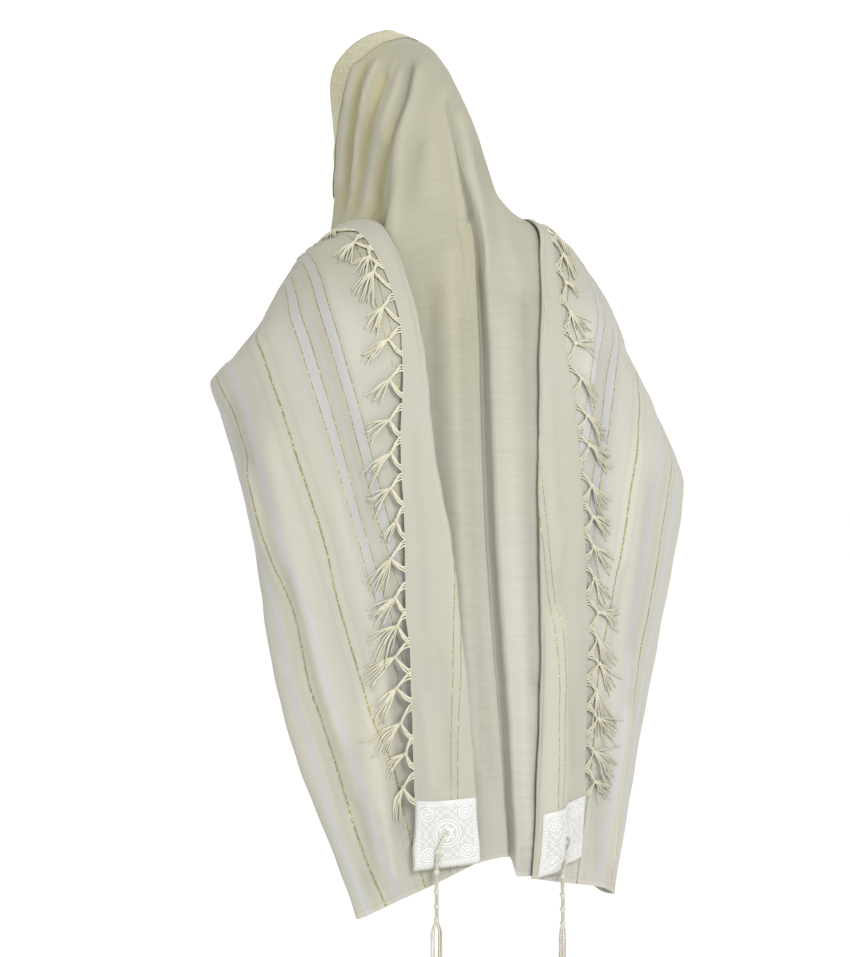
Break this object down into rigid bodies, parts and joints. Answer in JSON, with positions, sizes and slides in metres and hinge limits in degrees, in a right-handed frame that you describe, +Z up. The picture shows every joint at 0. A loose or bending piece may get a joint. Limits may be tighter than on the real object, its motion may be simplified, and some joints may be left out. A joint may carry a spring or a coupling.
{
  "type": "prayer shawl",
  "caption": "Rectangular fringed prayer shawl, worn over the head with its ends thrown back over the shoulders; brocade neckband, satin corner squares and knotted corner tassels.",
  "frame": {"origin": "the crown: the inner face of the hood, above the brow, where the wearer's head holds the cloth up", "axes": "+Z up, -Y the way the wearer faces, +X the wearer's left; the wearer's spine is at Y = 0.15"},
  "size_m": [0.6741, 0.4002, 1.4581],
  "materials": {
    "wool_cloth": "matt, thin and slightly sheer, with satin and gilt stripes",
    "brocade": "self-coloured brocade, soft sheen",
    "satin_square": "satin damask",
    "fringe_yarn": "soft twisted yarn",
    "tzitzit_yarn": "wound and knotted wool yarn"
  },
  "bodies": {
    "root": {"atarah": "brocade", "cloth_back": "wool_cloth", "cloth_wing_left": "wool_cloth", "cloth_wing_right": "wool_cloth", "corner_left_back": "satin_square", "corner_left_front": "satin_square", "corner_right_back": "satin_square", "corner_right_front": "satin_square", "fringe_left_back": "fringe_yarn", "fringe_left_front": "fringe_yarn", "fringe_right_back": "fringe_yarn", "fringe_right_front": "fringe_yarn", "tzitzit_left_back": "tzitzit_yarn", "tzitzit_left_front": "tzitzit_yarn", "tzitzit_right_back": "tzitzit_yarn", "tzitzit_right_front": "tzitzit_yarn"}
  },
  "joints": []
}
